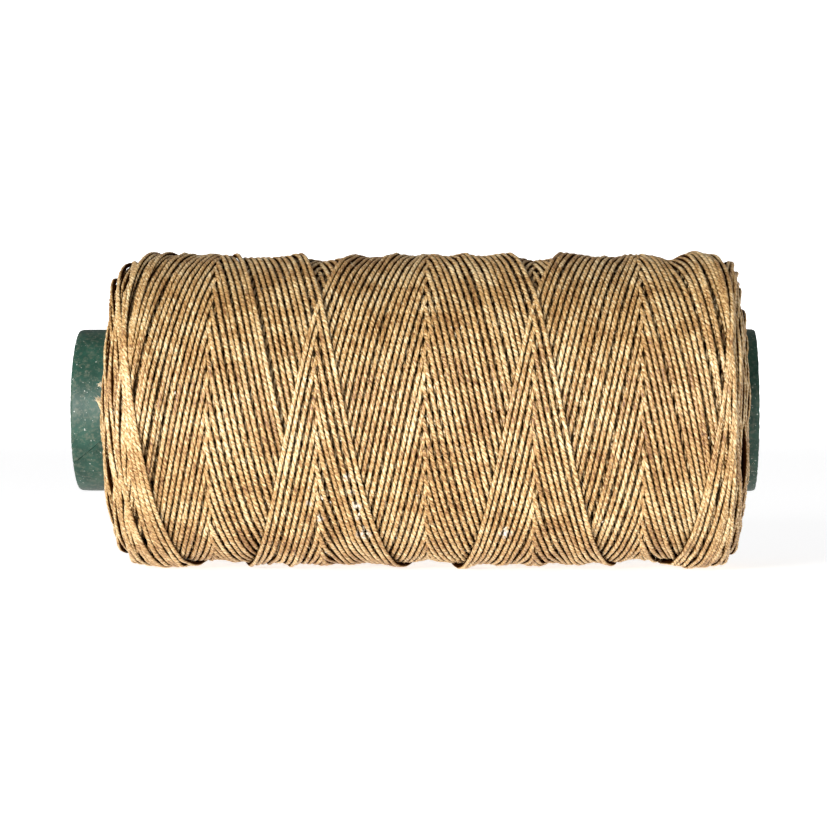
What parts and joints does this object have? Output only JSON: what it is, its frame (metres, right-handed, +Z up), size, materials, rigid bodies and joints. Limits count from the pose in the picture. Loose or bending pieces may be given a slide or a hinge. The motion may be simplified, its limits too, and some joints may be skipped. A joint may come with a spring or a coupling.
{
  "type": "thread spool",
  "caption": "Cross-wound spool of coarse tan waxed stitching thread on a plain dark green spiral-wound paper tube, the supply spool that feeds a hand sewing awl.",
  "frame": {"origin": "middle of the paper tube, on its axis", "axes": "+X along the tube towards the end where the winding comes nearest to the tube's rim, +Z up with the spool lying on its winding, -Y the front"},
  "size_m": [0.108, 0.0492, 0.0492],
  "materials": {
    "waxed_thread": "tan twisted linen or polyester thread, waxed, faintly glossy with pale fibre ends",
    "green_paper": "dark green calendered paper with a soft sheen, plain, with a few pale flecks",
    "grey_board": "grey-brown chipboard, matte, cut edge slightly fibrous",
    "kraft_paper": "brown kraft paper, matte"
  },
  "bodies": {
    "root": {"tube_liner_ply": "kraft_paper", "tube_body_ply_1": "grey_board", "tube_body_ply_2": "grey_board", "tube_body_ply_3": "grey_board", "tube_cover_ply": "green_paper", "thread_winding": "waxed_thread", "thread_start_tail": "waxed_thread", "thread_finish_tail": "waxed_thread"}
  },
  "joints": []
}
